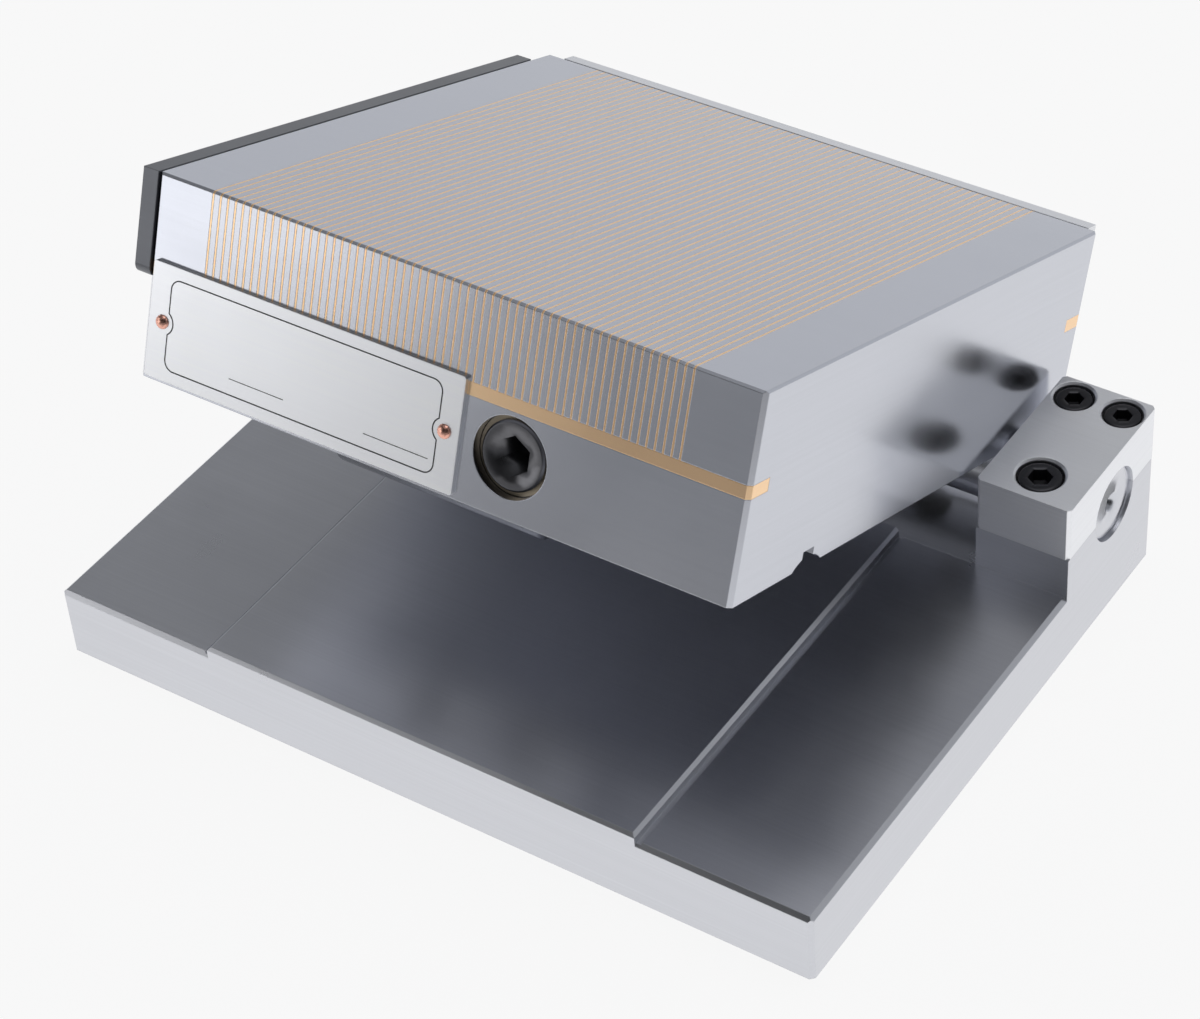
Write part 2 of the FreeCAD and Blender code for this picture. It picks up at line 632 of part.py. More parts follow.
for side in (-1, 1):
    for step in (0, 1):
        circle(cover_taps, f"{side} * (cavity_side + cover_ledge / 2)",
               f"cover_screw_front + {step} * cover_screw_spacing",
               "cover_screw_radius + thread_gap")
cut(housing, cover_taps, "cover_screw_depth", along_normal=True)
side_taps = new_sketch(housing, "YZ", out="-chuck_side")
for y in ("chuck_front + side_stop_slot_inset", "chuck_front + side_stop_length - side_stop_slot_inset"):
    circle(side_taps, y, "stop_screw_z", "slot_screw_radius + thread_gap")
cut(housing, side_taps, "slot_screw_depth + tap_runout", along_normal=True)
rear_taps = new_sketch(housing, "XZ", out="-chuck_rear")
for side in (-1, 1):
    circle(rear_taps, f"{side} * rear_stop_slot_spacing / 2", "stop_screw_z",
           "slot_screw_radius + thread_gap")
cut(housing, rear_taps, "slot_screw_depth + tap_runout", along_normal=True)
rivet_holes = new_sketch(housing, "XZ", out="-chuck_front")
for step in (0, 1):
    circle(rivet_holes, f"rivet_left + {step} * rivet_spacing", "nameplate_middle",
           "rivet_radius + thread_gap")
cut(housing, rivet_holes, "rivet_depth + thread_gap")

# ---------------------------------------------------------------- bottom cover
cover = new_part("bottom_cover", on_chuck=True)
outline = new_sketch(cover, "XY", out="chuck_bottom")
rectangle(outline, "-cover_side + cover_gap", "cover_side - cover_gap",
          "cavity_front + cover_gap", "cavity_rear - cover_gap")
pad(cover, outline, "cover_thickness")
roll_seat(cover, 0, "chuck_side")
roll_seat(cover, "-sine_distance", "chuck_side")
roll_taps = new_sketch(cover, "XY", out="chuck_bottom")
for x, y in roll_screws:
    circle(roll_taps, x, y, "fixing_radius + thread_gap")
cut(cover, roll_taps, "cover_thickness", along_normal=True)
first_hole = new_sketch(cover, "XZ", "cavity_side + cover_ledge / 2", "chuck_bottom",
                        "-cover_screw_front")
countersink = "(cover_screw_head_radius + screw_hole_gap)"
clearance = "(cover_screw_radius + screw_hole_gap)"
polygon(first_hole, [(0, 0), (countersink, 0), (clearance, f"{countersink} - {clearance}"),
                     (clearance, "cover_thickness"), (0, "cover_thickness")])
doc.recompute()
hole = turned(cover, first_hole, "V_Axis", kind="Groove")
row_and_mirror(cover, "Y", 2, "cover_screw_spacing", "YZ", [hole])

cover_screws = new_part("cover_screws", on_chuck=True)
shape = new_sketch(cover_screws, "XZ", "cavity_side + cover_ledge / 2", "chuck_bottom + screw_hole_gap",
                   "-cover_screw_front")
polygon(shape, [(0, 0), ("cover_screw_head_radius", 0),
                ("cover_screw_radius", "cover_screw_head_radius - cover_screw_radius"),
                ("cover_screw_radius", "cover_thickness - tip_gap + cover_screw_depth"),
                (0, "cover_thickness - tip_gap + cover_screw_depth")])
shank = turned(cover_screws, shape, "V_Axis")
key = new_sketch(cover_screws, "XY", "cavity_side + cover_ledge / 2", "cover_screw_front",
                 "chuck_bottom + screw_hole_gap")
hexagon(key, "cover_screw_hex")
key_cut = cut(cover_screws, key, "cover_screw_radius", along_normal=True)
row_and_mirror(cover_screws, "Y", 2, "cover_screw_spacing", "YZ", [shank, key_cut])


# ---------------------------------------------------------------- pole plate
def lamination(label, left, thickness, count):
    """Plates standing side by side along X, with the working edges bevelled like the housing's."""
    body = new_part(label, on_chuck=True)
    profile = new_sketch(body, "YZ", out=left)
    polygon(profile, [
        ("chuck_front", "pole_bottom"), ("chuck_rear", "pole_bottom"),
        ("chuck_rear", "chuck_top - working_edge_chamfer"), ("chuck_rear - working_edge_chamfer", "chuck_top"),
        ("chuck_front + working_edge_chamfer", "chuck_top"), ("chuck_front", "chuck_top - working_edge_chamfer")])
    plate = pad(body, profile, thickness)
    doc.recompute()
    row_pattern(body, "X", count, "pole_pitch", [plate])


lamination("steel_poles", "field_left + spacer_thickness", "pole_thickness", "pole_count")
lamination("brass_spacers", "field_left", "spacer_thickness", "pole_count + 1")

for label, low, high in (("front_brass_bar", "chuck_front", "chuck_front + bar_depth"),
                         ("rear_brass_bar", "chuck_rear - bar_depth", "chuck_rear")):
    bar = new_part(label, on_chuck=True)
    outline = new_sketch(bar, "XY", out="bar_bottom")
    rectangle(outline, "-chuck_side", "chuck_side", low, high)
    pad(bar, outline, "bar_height")
    outer = "chuck_front" if label.startswith("front") else "chuck_rear"
    bevel(bar, "chuck_chamfer", lambda a, b: near(a.x, b.x) and near(a.y, outer) and near(b.y, outer))

# ---------------------------------------------------------------- magnet carriage
carriage = new_part("magnet_carriage", on_chuck=True)
outline = new_sketch(carriage, "XY", "-cam_throw", 0, "carriage_bottom")
rectangle(outline, "-carriage_half", "carriage_half", "carriage_front", "carriage_rear")
pad(carriage, outline, "bar_bottom - carriage_top_gap - carriage_bottom")
pocket = new_sketch(carriage, "XY", "-cam_throw", 0, "bar_bottom")
rectangle(pocket, "-pack_width / 2", "pack_width / 2",
          "carriage_front + carriage_front_block", "carriage_rear - carriage_rear_block")
cut(carriage, pocket, "bar_bottom - magnet_bottom")
cam_slot = new_sketch(carriage, "XZ", "cam_pin_x", "cam_z", "-carriage_front")
rectangle(cam_slot, "-cam_pin_radius - cam_pin_slack", "cam_pin_radius + cam_pin_slack",
          "-cam_pin_radius - cam_pin_slack", "cam_throw + cam_pin_radius + cam_pin_slack")
cut(carriage, cam_slot, "cam_pin_length - carriage_end_gap + cam_pin_slack + thread_gap")


def pack_bars(label, left, thickness, count):
    """Bars standing in the carriage's pocket, along the poles."""
    body = new_part(label, on_chuck=True)
    outline = new_sketch(body, "XY", "-cam_throw", 0, "magnet_bottom")
    rectangle(outline, left, f"{left} + {thickness}",
              "carriage_front + carriage_front_block", "carriage_rear - carriage_rear_block")
    bar = pad(body, outline, "magnet_top - magnet_bottom")
    doc.recompute()
    row_pattern(body, "X", count, "magnet_pitch", [bar])


pack_bars("magnets", "-pack_width / 2", "magnet_thickness", "magnet_count")
pack_bars("flux_bars", "-pack_width / 2 + magnet_thickness", "flux_bar_thickness", "magnet_count - 1")

strips = new_part("slide_strips", on_chuck=True)
outline = new_sketch(strips, "XY", out="cover_top")
rectangle(outline, "-cavity_side", "cavity_side", "cavity_front + strip_inset",
          "cavity_front + strip_inset + strip_width")
strip = pad(strips, outline, "strip_thickness")
doc.recompute()
row_pattern(strips, "Y", 2, "cavity_rear - cavity_front - 2 * strip_inset - strip_width", [strip])

# ---------------------------------------------------------------- cam shaft
# Key operated shaft: flush head with a hexagon socket, journal with a half turn stop groove, and
# an eccentric pin at the end that stands in the carriage's slot.
cam = new_part("cam_shaft", on_chuck=True)
profile = new_sketch(cam, "YZ", "chuck_front", "cam_z", "cam_offset")
head_end = "(cam_head_recess + cam_head_length)"
journal_end = "(end_wall - 2 * thread_gap)"
polygon(profile, [
    ("cam_head_recess", 0), ("cam_head_recess", "cam_head_radius - mouth_chamfer"),
    ("cam_head_recess + mouth_chamfer", "cam_head_radius"), (head_end, "cam_head_radius"),
    (head_end, "cam_journal_radius"), (journal_end, "cam_journal_radius"), (journal_end, 0)])
turned(cam, profile, "H_Axis")
pin = new_sketch(cam, "XZ", "cam_pin_x", "cam_z", f"-(chuck_front + {journal_end})")
circle(pin, 0, 0, "cam_pin_radius")
pad(cam, pin, "cam_pin_length", backwards=True)
key = new_sketch(cam, "XZ", "cam_offset", "cam_z", "-(chuck_front + cam_head_recess)")
hexagon(key, "key_hex", upright=True)
cut(cam, key, "key_depth")
track = new_sketch(cam, "XY", "cam_offset", "chuck_front + stop_screw_from_front", "cam_z")
half_width = "(stop_tip_radius + stop_groove_gap)"
track_radius = "(cam_journal_radius - stop_groove_depth)"
rectangle(track, track_radius, "cam_journal_radius + overrun", f"-{half_width}", half_width)
doc.recompute()
volume_before = cam.Shape.Volume
groove = turned(cam, track, "V_Axis", angle=f"180 + 2 * atan({half_width} / {track_radius}) / 1 deg", kind="Groove")
groove.Midplane = True
doc.recompute()
if cam.Shape.Volume >= volume_before:
    raise RuntimeError("cam_shaft: the stop groove takes nothing away")

stop_screw = new_part("stop_screw", on_chuck=True)
profile = new_sketch(stop_screw, "XZ", "cam_offset", "chuck_bottom",
                     "-(chuck_front + stop_screw_from_front)")
shoulder = "(cam_height - cam_journal_radius - screw_hole_gap)"
tip = "(cam_height - cam_journal_radius + stop_groove_depth - screw_hole_gap)"
polygon(profile, [(0, "mouth_chamfer"), ("stop_screw_radius", "mouth_chamfer"),
                  ("stop_screw_radius", shoulder), ("stop_tip_radius", shoulder), ("stop_tip_radius", tip),
                  (0, tip)])
turned(stop_screw, profile, "V_Axis")
key = new_sketch(stop_screw, "XY", "cam_offset", "chuck_front + stop_screw_from_front",
                 "chuck_bottom + mouth_chamfer")
hexagon(key, "stop_screw_hex")
cut(stop_screw, key, "stop_screw_radius", along_normal=True)


# ---------------------------------------------------------------- workpiece stops
def slot(sketch, x):
    """Upright slot with round ends, for a screw at the slot's top end."""
    radius = "(slot_screw_radius + screw_hole_gap)"
    high = number("stop_screw_z")
    low = number("stop_screw_z - stop_travel")
    middle, half = number(x), number(radius)
    up, first = FreeCAD.Vector(0, 0, 1), sketch.GeometryCount
    top = Part.Circle(FreeCAD.Vector(middle, high, 0), up, half)
    bottom = Part.Circle(FreeCAD.Vector(middle, low, 0), up, half)
    sketch.addGeometry(Part.ArcOfCircle(top, 0, math.pi))
    sketch.addGeometry(Part.LineSegment(FreeCAD.Vector(middle - half, high, 0),
                                        FreeCAD.Vector(middle - half, low, 0)))
    sketch.addGeometry(Part.ArcOfCircle(bottom, math.pi, 2 * math.pi))
    sketch.addGeometry(Part.LineSegment(FreeCAD.Vector(middle + half, low, 0),
                                        FreeCAD.Vector(middle + half, high, 0)))
    for one, after in ((0, 1), (1, 2), (2, 3), (3, 0)):
        sketch.addConstraint(Sketcher.Constraint("Tangent", first + one, 2, first + after, 1))
    locate(sketch, first, 3, x, "stop_screw_z")
    locate(sketch, first + 2, 3, x, "stop_screw_z - stop_travel")
    for arc in (0, 2):
        size = sketch.addConstraint(Sketcher.Constraint("Radius", first + arc, half))
        sketch.setExpression(f"Constraints[{size}]", bound(radius))


def stop_plate(label, plane, out, left, length, slots):
    """Flat stop with rounded lower corners, its top edge level with the working face."""
    body = new_part(label, on_chuck=True)
    outline = new_sketch(body, plane, out=out)
    polygon(outline, [(left, "stop_bottom"), (f"{left} + {length}", "stop_bottom"),
                      (f"{left} + {length}", "chuck_top"), (left, "chuck_top")])
    pad(body, outline, "stop_thickness", backwards=True)
    bevel(body, "stop_corner_radius", lambda a, b: near(a.z, "stop_bottom") and near(b.z, "stop_bottom")
          and (a - b).Length < 1.5 * number("stop_thickness"), rounded=True)
    slots_sketch = new_sketch(body, plane, out=out)
    for place in slots:
        slot(slots_sketch, place)
    cut(body, slots_sketch, "stop_thickness")


side_slots = ("chuck_front + side_stop_slot_inset", "chuck_front + side_stop_length - side_stop_slot_inset")
stop_plate("side_stop", "YZ", "-chuck_side - stop_gap", "chuck_front", "side_stop_length", side_slots)
rear_slots = ("-rear_stop_slot_spacing / 2", "rear_stop_slot_spacing / 2")
stop_plate("rear_stop", "XZ", "-chuck_rear - stop_gap", "rear_stop_offset - rear_stop_length / 2",
           "rear_stop_length", rear_slots)

side_screws = new_part("side_stop_screws", on_chuck=True)
face = "(-chuck_side - 2 * stop_gap - stop_thickness)"
made = socket_screw(side_screws, "XZ", "H", (face, side_slots[0], "stop_screw_z"), -1, "slot_screw_radius",
                    "stop_thickness + 2 * stop_gap + slot_screw_depth", "slot_screw_head_radius",
                    "slot_screw_head_height", "slot_screw_hex")
row_pattern(side_screws, "Y", 2, "side_stop_length - 2 * side_stop_slot_inset", made)

rear_screws = new_part("rear_stop_screws", on_chuck=True)
face = "(chuck_rear + 2 * stop_gap + stop_thickness)"
made = socket_screw(rear_screws, "YZ", "H", (rear_slots[0], face, "stop_screw_z"), 1, "slot_screw_radius",
                    "stop_thickness + 2 * stop_gap + slot_screw_depth", "slot_screw_head_radius",
                    "slot_screw_head_height", "slot_screw_hex")
row_pattern(rear_screws, "X", 2, "rear_stop_slot_spacing", made)

# ---------------------------------------------------------------- nameplate
nameplate = new_part("nameplate", on_chuck=True)
outline = new_sketch(nameplate, "XZ", "-nameplate_left", "chuck_bottom + nameplate_bottom", "-chuck_front")
rectangle(outline, 0, "nameplate_length", 0, "nameplate_height")
pad(nameplate, outline, "nameplate_thickness")
bevel(nameplate, "nameplate_corner", lambda a, b: near(a.x, b.x) and near(a.z, b.z))
holes = new_sketch(nameplate, "XZ", "-nameplate_left", "chuck_bottom + nameplate_bottom",
                   "nameplate_thickness - chuck_front")
for x in ("rivet_inset", "nameplate_length - rivet_inset"):
    circle(holes, x, "nameplate_height / 2", "rivet_radius + thread_gap")
cut(nameplate, holes, "nameplate_thickness")

# Rivets: a shank in the housing and a low head on the plate
rivets = new_part("nameplate_rivets", on_chuck=True)
profile = new_sketch(rivets, "YZ", "chuck_front - nameplate_thickness", "nameplate_middle", "rivet_left")
polygon(profile, [
    ("-rivet_head_height", 0), ("-rivet_head_height", "rivet_head_radius"), (0, "rivet_head_radius"),
    (0, "rivet_radius"),
    ("rivet_depth + nameplate_thickness", "rivet_radius"), ("rivet_depth + nameplate_thickness", 0)])
made = turned(rivets, profile, "H_Axis")
doc.recompute()
row_pattern(rivets, "X", 2, "rivet_spacing", [made])

# ---------------------------------------------------------------- checks and files
doc.recompute()
for item in doc.Objects:
    if "Invalid" in item.State or "Error" in item.State:
        raise RuntimeError(f"{item.Label}: {item.State}")
os.makedirs("parts", exist_ok=True)
for body in sub_parts:
    if body.Shape.isNull() or not body.Shape.isValid():
        raise RuntimeError(f"{body.Label}: no valid shape")
for body in sub_parts:
    body.Shape.exportStep(f"parts/{body.Label}.step")
    print(body.Label, len(body.Shape.Solids), round(body.Shape.Volume, 1))
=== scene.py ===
"""Sine plate with a fine pole magnetic chuck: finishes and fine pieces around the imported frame."""

from math import cos, pi, radians, sin

import bmesh
import bpy
import numpy as np
from mathutils import Matrix, Vector


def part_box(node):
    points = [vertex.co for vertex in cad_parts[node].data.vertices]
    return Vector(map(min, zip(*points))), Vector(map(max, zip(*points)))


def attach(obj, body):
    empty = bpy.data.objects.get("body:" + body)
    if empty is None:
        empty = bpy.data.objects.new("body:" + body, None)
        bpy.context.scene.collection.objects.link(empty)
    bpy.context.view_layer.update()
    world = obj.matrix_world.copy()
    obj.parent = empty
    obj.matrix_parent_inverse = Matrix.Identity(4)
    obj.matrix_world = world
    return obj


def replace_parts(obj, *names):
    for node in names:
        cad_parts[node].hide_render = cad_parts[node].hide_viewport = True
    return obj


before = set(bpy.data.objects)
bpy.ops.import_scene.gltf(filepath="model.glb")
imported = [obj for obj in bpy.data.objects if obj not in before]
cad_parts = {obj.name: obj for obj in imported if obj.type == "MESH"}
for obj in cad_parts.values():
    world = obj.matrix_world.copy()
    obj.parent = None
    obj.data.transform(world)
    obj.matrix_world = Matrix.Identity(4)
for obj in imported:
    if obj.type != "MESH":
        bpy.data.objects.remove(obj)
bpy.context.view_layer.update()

# ---------------------------------------------------------------- base plate
# Base plate of tool steel with its two lower hinge blocks, milled from one
# slab and surface ground; a raised pad carries the gauge blocks.
MM = 0.001


def link(tree, source, target):
    """Joins an output socket to an input socket."""
    tree.links.new(source, target)


def node(tree, kind, **settings):
    """Adds one shader node and sets its fields and, by name, its sockets."""
    made = tree.nodes.new(kind)
    for key, value in settings.items():
        if hasattr(made, key):
            setattr(made, key, value)
        else:
            made.inputs[key.replace("_", " ")].default_value = value
    return made


def maths(tree, operation, first, second=None):
    """Adds one Math node; each operand is a number or a socket."""
    made = node(tree, "ShaderNodeMath", operation=operation)
    for place, value in enumerate((first, second)):
        if isinstance(value, (int, float)):
            made.inputs[place].default_value = value
        elif value is not None:
            link(tree, value, made.inputs[place])
    return made.outputs[0]


def grinding_group():
    """Lines that a grinding wheel leaves: noise drawn out along the travel.

    On faces square to X the travel is along Y, elsewhere along X. Clouds is
    a broad unevenness of the same surface, and Specks are fine pits.
    """
    along = 9.0  # scale of the noise along the travel, against Fineness across it
    square_on = 0.6  # a face whose normal has a larger X part is square to X
    noises = {"Lines": dict(Scale=1.0, Detail=3.0, Roughness=0.65),
              "Clouds": dict(Scale=38.0, Detail=4.0, Roughness=0.55),
              "Specks": dict(Scale=2600.0, Detail=2.0, Roughness=0.6)}
    group = bpy.data.node_groups.new("grinding_marks", "ShaderNodeTree")
    for name, kind in (("Position", "NodeSocketVector"), ("Facing", "NodeSocketVector"),
                       ("Fineness", "NodeSocketFloat")):
        group.interface.new_socket(name, in_out="INPUT", socket_type=kind)
    for name in noises:
        group.interface.new_socket(name, in_out="OUTPUT", socket_type="NodeSocketFloat")
    enter = group.nodes.new("NodeGroupInput")
    leave = group.nodes.new("NodeGroupOutput")
    place = node(group, "ShaderNodeSeparateXYZ")
    facing = node(group, "ShaderNodeSeparateXYZ")
    link(group, enter.outputs["Position"], place.inputs[0])
    link(group, enter.outputs["Facing"], facing.inputs[0])
    fine = enter.outputs["Fineness"]
    sideways = maths(group, "GREATER_THAN", maths(group, "ABSOLUTE", facing.outputs["X"]), square_on)
    swapped = maths(group, "MULTIPLY", sideways, fine)
    scale_x = maths(group, "ADD", along, swapped)
    scale_y = maths(group, "SUBTRACT", maths(group, "ADD", fine, along), swapped)
    drawn = node(group, "ShaderNodeCombineXYZ")
    for axis, scale in zip("XYZ", (scale_x, scale_y, fine)):
        link(group, maths(group, "MULTIPLY", place.outputs[axis], scale), drawn.inputs[axis])
    for name, settings in noises.items():
        noise = node(group, "ShaderNodeTexNoise", **settings)
        source = drawn.outputs[0] if name == "Lines" else enter.outputs["Position"]
        link(group, source, noise.inputs["Vector"])
        link(group, noise.outputs[0], leave.inputs[name])
    return group


grinding = grinding_group()


def ground_metal(name, colour, roughness, lines=0.25, bump=0.05, turn=0.0, uneven=0.06,
                 metallic=1.0):
    """Metal with the marks of a grinding wheel in its colour, roughness and relief.

    The colour is multiplied by 1 + lines (Lines - 1/2) + uneven (Clouds - 1/2)
    and the roughness is roughness + rough_spread (Clouds - 1/2). The relief is
    Lines plus half of Specks. Turn leans the marks with a tilted piece.
    """
    fineness, rough_spread = 1500.0, 0.14
    edge_radius, relief_depth = 0.25 * MM, 0.05 * MM
    material = bpy.data.materials.new(name)
    material.use_nodes = True
    tree = material.node_tree
    shader = tree.nodes["Principled BSDF"]
    shader.inputs["Metallic"].default_value = metallic
    place = node(tree, "ShaderNodeTexCoord")
    turned = node(tree, "ShaderNodeMapping", vector_type="POINT", Rotation=(turn, 0.0, 0.0))
    link(tree, place.outputs["Object"], turned.inputs["Vector"])
    marks = node(tree, "ShaderNodeGroup", node_tree=grinding, Fineness=fineness)
    link(tree, turned.outputs[0], marks.inputs["Position"])
    link(tree, place.outputs["Normal"], marks.inputs["Facing"])

    shade = maths(tree, "ADD", maths(tree, "MULTIPLY", marks.outputs["Lines"], lines),
                  maths(tree, "MULTIPLY", marks.outputs["Clouds"], uneven))
    shade = maths(tree, "ADD", shade, 1.0 - (lines + uneven) / 2.0)
    tone = node(tree, "ShaderNodeVectorMath", operation="SCALE")
    tone.inputs[0].default_value = colour
    link(tree, shade, tone.inputs["Scale"])
    link(tree, tone.outputs[0], shader.inputs["Base Color"])

    rough = maths(tree, "MULTIPLY", marks.outputs["Clouds"], rough_spread)
    rough = maths(tree, "ADD", rough, roughness - rough_spread / 2.0)
    link(tree, rough, shader.inputs["Roughness"])

    rounded = node(tree, "ShaderNodeBevel", samples=4, Radius=edge_radius)
    relief = node(tree, "ShaderNodeBump", Strength=bump, Distance=relief_depth)
    height = maths(tree, "ADD", marks.outputs["Lines"],
                   maths(tree, "MULTIPLY", marks.outputs["Specks"], 0.5))
    link(tree, height, relief.inputs["Height"])
    link(tree, rounded.outputs[0], relief.inputs["Normal"])
    link(tree, relief.outputs[0], shader.inputs["Normal"])
    return material


def finish(name, material):
    """Gives a node of the frame a better material in its own slot."""
    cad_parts[name].data.materials.clear()
    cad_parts[name].data.materials.append(material)


finish("base", ground_metal("ground_steel_base", (0.66, 0.67, 0.71), 0.30, lines=0.12, bump=0.04))

# ---------------------------------------------------------------- hinge caps
# Upper halves of the hinge bearings: ground steel blocks with stepped holes
# for the cap screws, split from the base along the axis of the roll.
finish("hinge_caps", ground_metal("ground_steel_caps", (0.90, 0.91, 0.94), 0.42, lines=0.10,
                                  bump=0.03))

# ---------------------------------------------------------------- cap screws
# Socket head cap screws, forged with a knurled head and a hexagon socket,
# thread rolled and black oxidised: two sizes hold each cap down.


def surface(name, points, faces, material):
    """Mesh of the given points and faces in one material."""
    mesh = bpy.data.meshes.new(name)
    mesh.from_pydata(np.reshape(points, (-1, 3)).tolist(), [], faces)
    mesh.materials.append(material)
    return mesh


def grid_faces(rows, around, ring=False):
    """Four-sided faces that join each row of closed rings to the next.

    Point k of row r is number r * around + k. With ring, the last row is
    joined to the first.
    """
    here = np.arange(around)
    after = (here + 1) % around
    row = np.arange(rows if ring else rows - 1)[:, None]
    low, high = row * around, (row + 1) % rows * around
    return np.stack([low + here, low + after, high + after, high + here], -1).reshape(-1, 4).tolist()


def closed_skin(name, rings, first, last, material):
    """Mesh over a stack of rings (rows, points, 3), closed by a pole at each end.

    Each ring is joined to the next by four-sided faces, and the end rings
    to the poles by fans.
    """
    rows, around = rings.shape[:2]
    here = np.arange(around)
    after = (here + 1) % around
    end = (rows - 1) * around
    first_pole, last_pole = rows * around, rows * around + 1
    fans = np.vstack([np.stack([np.full(around, first_pole), after, here], -1),
                      np.stack([np.full(around, last_pole), end + here, end + after], -1)])
    points = np.vstack([rings.reshape(-1, 3), first, last])
    mesh = surface(name, points, grid_faces(rows, around) + fans.tolist(), material)
    mesh.shade_smooth()
    mesh.set_sharp_from_angle(angle=radians(35))
    return mesh


def hex_radius(angle, across_flats):
    """Distance from the centre of a hexagon to its edge at an angle."""
    return across_flats / 2 / np.cos((angle + pi / 6) % (pi / 3) - pi / 6)


def socket_screw_rings(head_radius, head_height, hexagon, shank_radius, length, pitch):
    """Rings of a screw standing on z = 0, its head above and its shank below.

    They run up from the socket's floor, over the rim, down the knurled side
    and along the shank. Around a ring the radius is a hexagon in the
    socket, a circle with cosine teeth on the knurl, and on the shank a
    triangle wave of height over pitch less the turn, which is the thread.
    """
    around, teeth, tooth = 96, 24, 0.13 * MM
    turn = np.arange(around) / around
    angle = 2 * pi * turn
    flat = hex_radius(angle, hexagon)
    mouth = hexagon / np.sqrt(3) + 0.1 * MM
    floor = head_height - 0.55 * head_height
    stack = [(0.02 * flat, floor - 0.12 * hexagon), (flat, floor), (flat, head_height - 0.15 * MM),
             (mouth, head_height)]
    rim = 0.12 * head_radius
    stack += [(head_radius - rim + rim * sin(step), head_height - rim + rim * cos(step))
              for step in np.linspace(0, pi / 2, 4)]
    knurled = head_radius - tooth * (1 - np.cos(teeth * angle)) / 2
    stack += [(knurled, head_height - rim - 0.25 * MM), (knurled, 0.35 * MM),
              (head_radius - 0.1 * MM, 0.2 * MM), (head_radius - 0.3 * MM, 0.0),
              (shank_radius, 0.0)]
    depth = 0.3 * pitch
    for z in np.arange(-pitch, -length + pitch, -pitch / 3):
        wave = np.abs(((z / pitch - turn) % 1) * 2 - 1)
        stack.append((shank_radius - depth * wave, z))
    stack += [(shank_radius - depth, -length + 0.5 * pitch), (shank_radius - 2 * depth, -length)]
    return np.stack([np.stack([radius * np.cos(angle), radius * np.sin(angle),
                               np.full(around, z)], -1) for radius, z in stack])


def merged(name, parts, material):
    """One mesh from several, which are used up."""
    whole = bmesh.new()
    for part in parts:
        whole.from_mesh(part)
        bpy.data.meshes.remove(part)
    mesh = bpy.data.meshes.new(name)
    whole.to_mesh(mesh)
    whole.free()
    mesh.materials.append(material)
    return mesh


def placed(name, mesh, body):
    """Puts a finished mesh into the scene as a piece that rides on a body."""
    piece = bpy.data.objects.new(name, mesh)
    bpy.context.scene.collection.objects.link(piece)
    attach(piece, body)
    return piece


black_screw = ground_metal("black_oxide_screws", (0.035, 0.035, 0.04), 0.32, lines=0.1, bump=0.02,
                           uneven=0.3, metallic=0.6)
cap_low, cap_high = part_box("hinge_caps")
CAP_HALF, FRONT_EDGE, REAR_EDGE, REAR_SPREAD = 11.6 * MM, 8.0 * MM, 5.6 * MM, 6.1 * MM
M6 = dict(head_radius=5.0 * MM, head_height=6.0 * MM, hexagon=5.0 * MM, shank_radius=3.0 * MM,
          pitch=1.0 * MM)
M5 = dict(head_radius=4.25 * MM, head_height=5.0 * MM, hexagon=4.0 * MM, shank_radius=2.5 * MM,
          pitch=0.8 * MM)
for name, replaced, size, y, spread in (
        ("cap_clamp_screws", "clamp_screws", M6, cap_low[1] + FRONT_EDGE, (0,)),
        ("cap_fixing_screws", "fixing_screws", M5, cap_high[1] - REAR_EDGE,
         (-REAR_SPREAD, REAR_SPREAD))):
    low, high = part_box(replaced)
    seat = high[2] - size["head_height"]
    rings = socket_screw_rings(length=seat - low[2], **size)
    places = [np.array((side * (cap_high[0] - CAP_HALF) + x, y, seat))
              for side in (-1, 1) for x in spread]
    parts = [closed_skin(name, rings + place, place + (0, 0, rings[0, 0, 2]),
                         place + (0, 0, rings[-1, 0, 2]), black_screw) for place in places]
    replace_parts(placed(name, merged(name, parts, black_screw), "sine_base"), replaced)

# ---------------------------------------------------------------- rolls
# Hardened rolls, cylindrically ground between centres, on the sine distance;
# the hinge roll turns in the blocks and the front one rests on gauge blocks.


def polished(name, replaced, body, material):
    """A node's own shape with its curved faces shaded round and its edges kept.

    A face is curved where it turns to a neighbour by more than flat and by
    less than sharp.
    """
    flat, sharp, near = radians(0.5), radians(28), 0.001 * MM
    source = bmesh.new()
    source.from_mesh(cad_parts[replaced].data)
    bmesh.ops.remove_doubles(source, verts=source.verts, dist=near)
    for face in source.faces:
        turns = [edge.calc_face_angle(0) for edge in face.edges]
        face.smooth = any(flat < turn < sharp for turn in turns)
        face.material_index = 0
    mesh = bpy.data.meshes.new(name)
    source.to_mesh(mesh)
    source.free()
    mesh.materials.append(material)
    mesh.set_sharp_from_angle(angle=sharp)
    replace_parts(placed(name, mesh, body), replaced)


roll_steel = ground_metal("bright_roll_steel", (0.66, 0.67, 0.71), 0.24, lines=0.08, bump=0.02)
polished("hinge_roll_round", "hinge_roll", "chuck", roll_steel)
polished("sine_roll_round", "sine_roll", "chuck", roll_steel)
finish("roll_screws", black_screw)

# ---------------------------------------------------------------- chuck body
# Housing of the chuck and its bottom cover: steel blocks, ground all over,
# with the cam's stepped hole in front and a seat for each roll below.
TILT = radians(21)
chuck_steel = ground_metal("ground_steel_chuck", (0.60, 0.615, 0.67), 0.18, lines=0.07, bump=0.015,
                           turn=TILT)
finish("chuck_housing", chuck_steel)
finish("bottom_cover", chuck_steel)
finish("cover_screws", black_screw)

